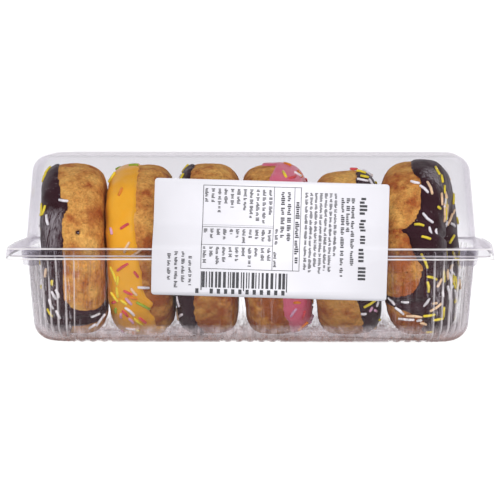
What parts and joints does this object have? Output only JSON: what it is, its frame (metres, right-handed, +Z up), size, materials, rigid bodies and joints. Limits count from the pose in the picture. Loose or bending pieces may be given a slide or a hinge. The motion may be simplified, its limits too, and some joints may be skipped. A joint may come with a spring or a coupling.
{
  "type": "box of doughnuts",
  "caption": "Clear hinged takeaway box holding a row of glazed and sprinkled ring doughnuts on edge, with a paper label across its front.",
  "frame": {"origin": "middle of the box's underside, at the centre of the whole object's box in plan", "axes": "+Z up; +X along the row of doughnuts, to the right seen from the front; the label is on the -Y side and the hinge on the +Y side"},
  "size_m": [0.2322, 0.1133, 0.0883],
  "materials": {
    "clear_film": "gloss",
    "label_paper": "matte",
    "label_ink": "matte",
    "cake": "matte",
    "chocolate_glaze": "gloss",
    "orange_glaze": "gloss",
    "pink_glaze": "gloss",
    "sprinkles": "satin"
  },
  "bodies": {
    "tray": {"box_base": "clear_film", "hinge_fold": "clear_film", "doughnut_1": "cake", "doughnut_2": "cake", "doughnut_3": "cake", "doughnut_4": "cake", "doughnut_5": "cake", "doughnut_6": "cake"},
    "lid": {"box_lid": "clear_film", "label": "label_paper"}
  },
  "joints": [
    {"name": "lid_hinge", "type": "hinge", "parent": "tray", "child": "lid", "pos_m": [0, 0.0556, 0.04455], "axis": [-1, 0, 0], "range_deg": [0, 175]}
  ]
}
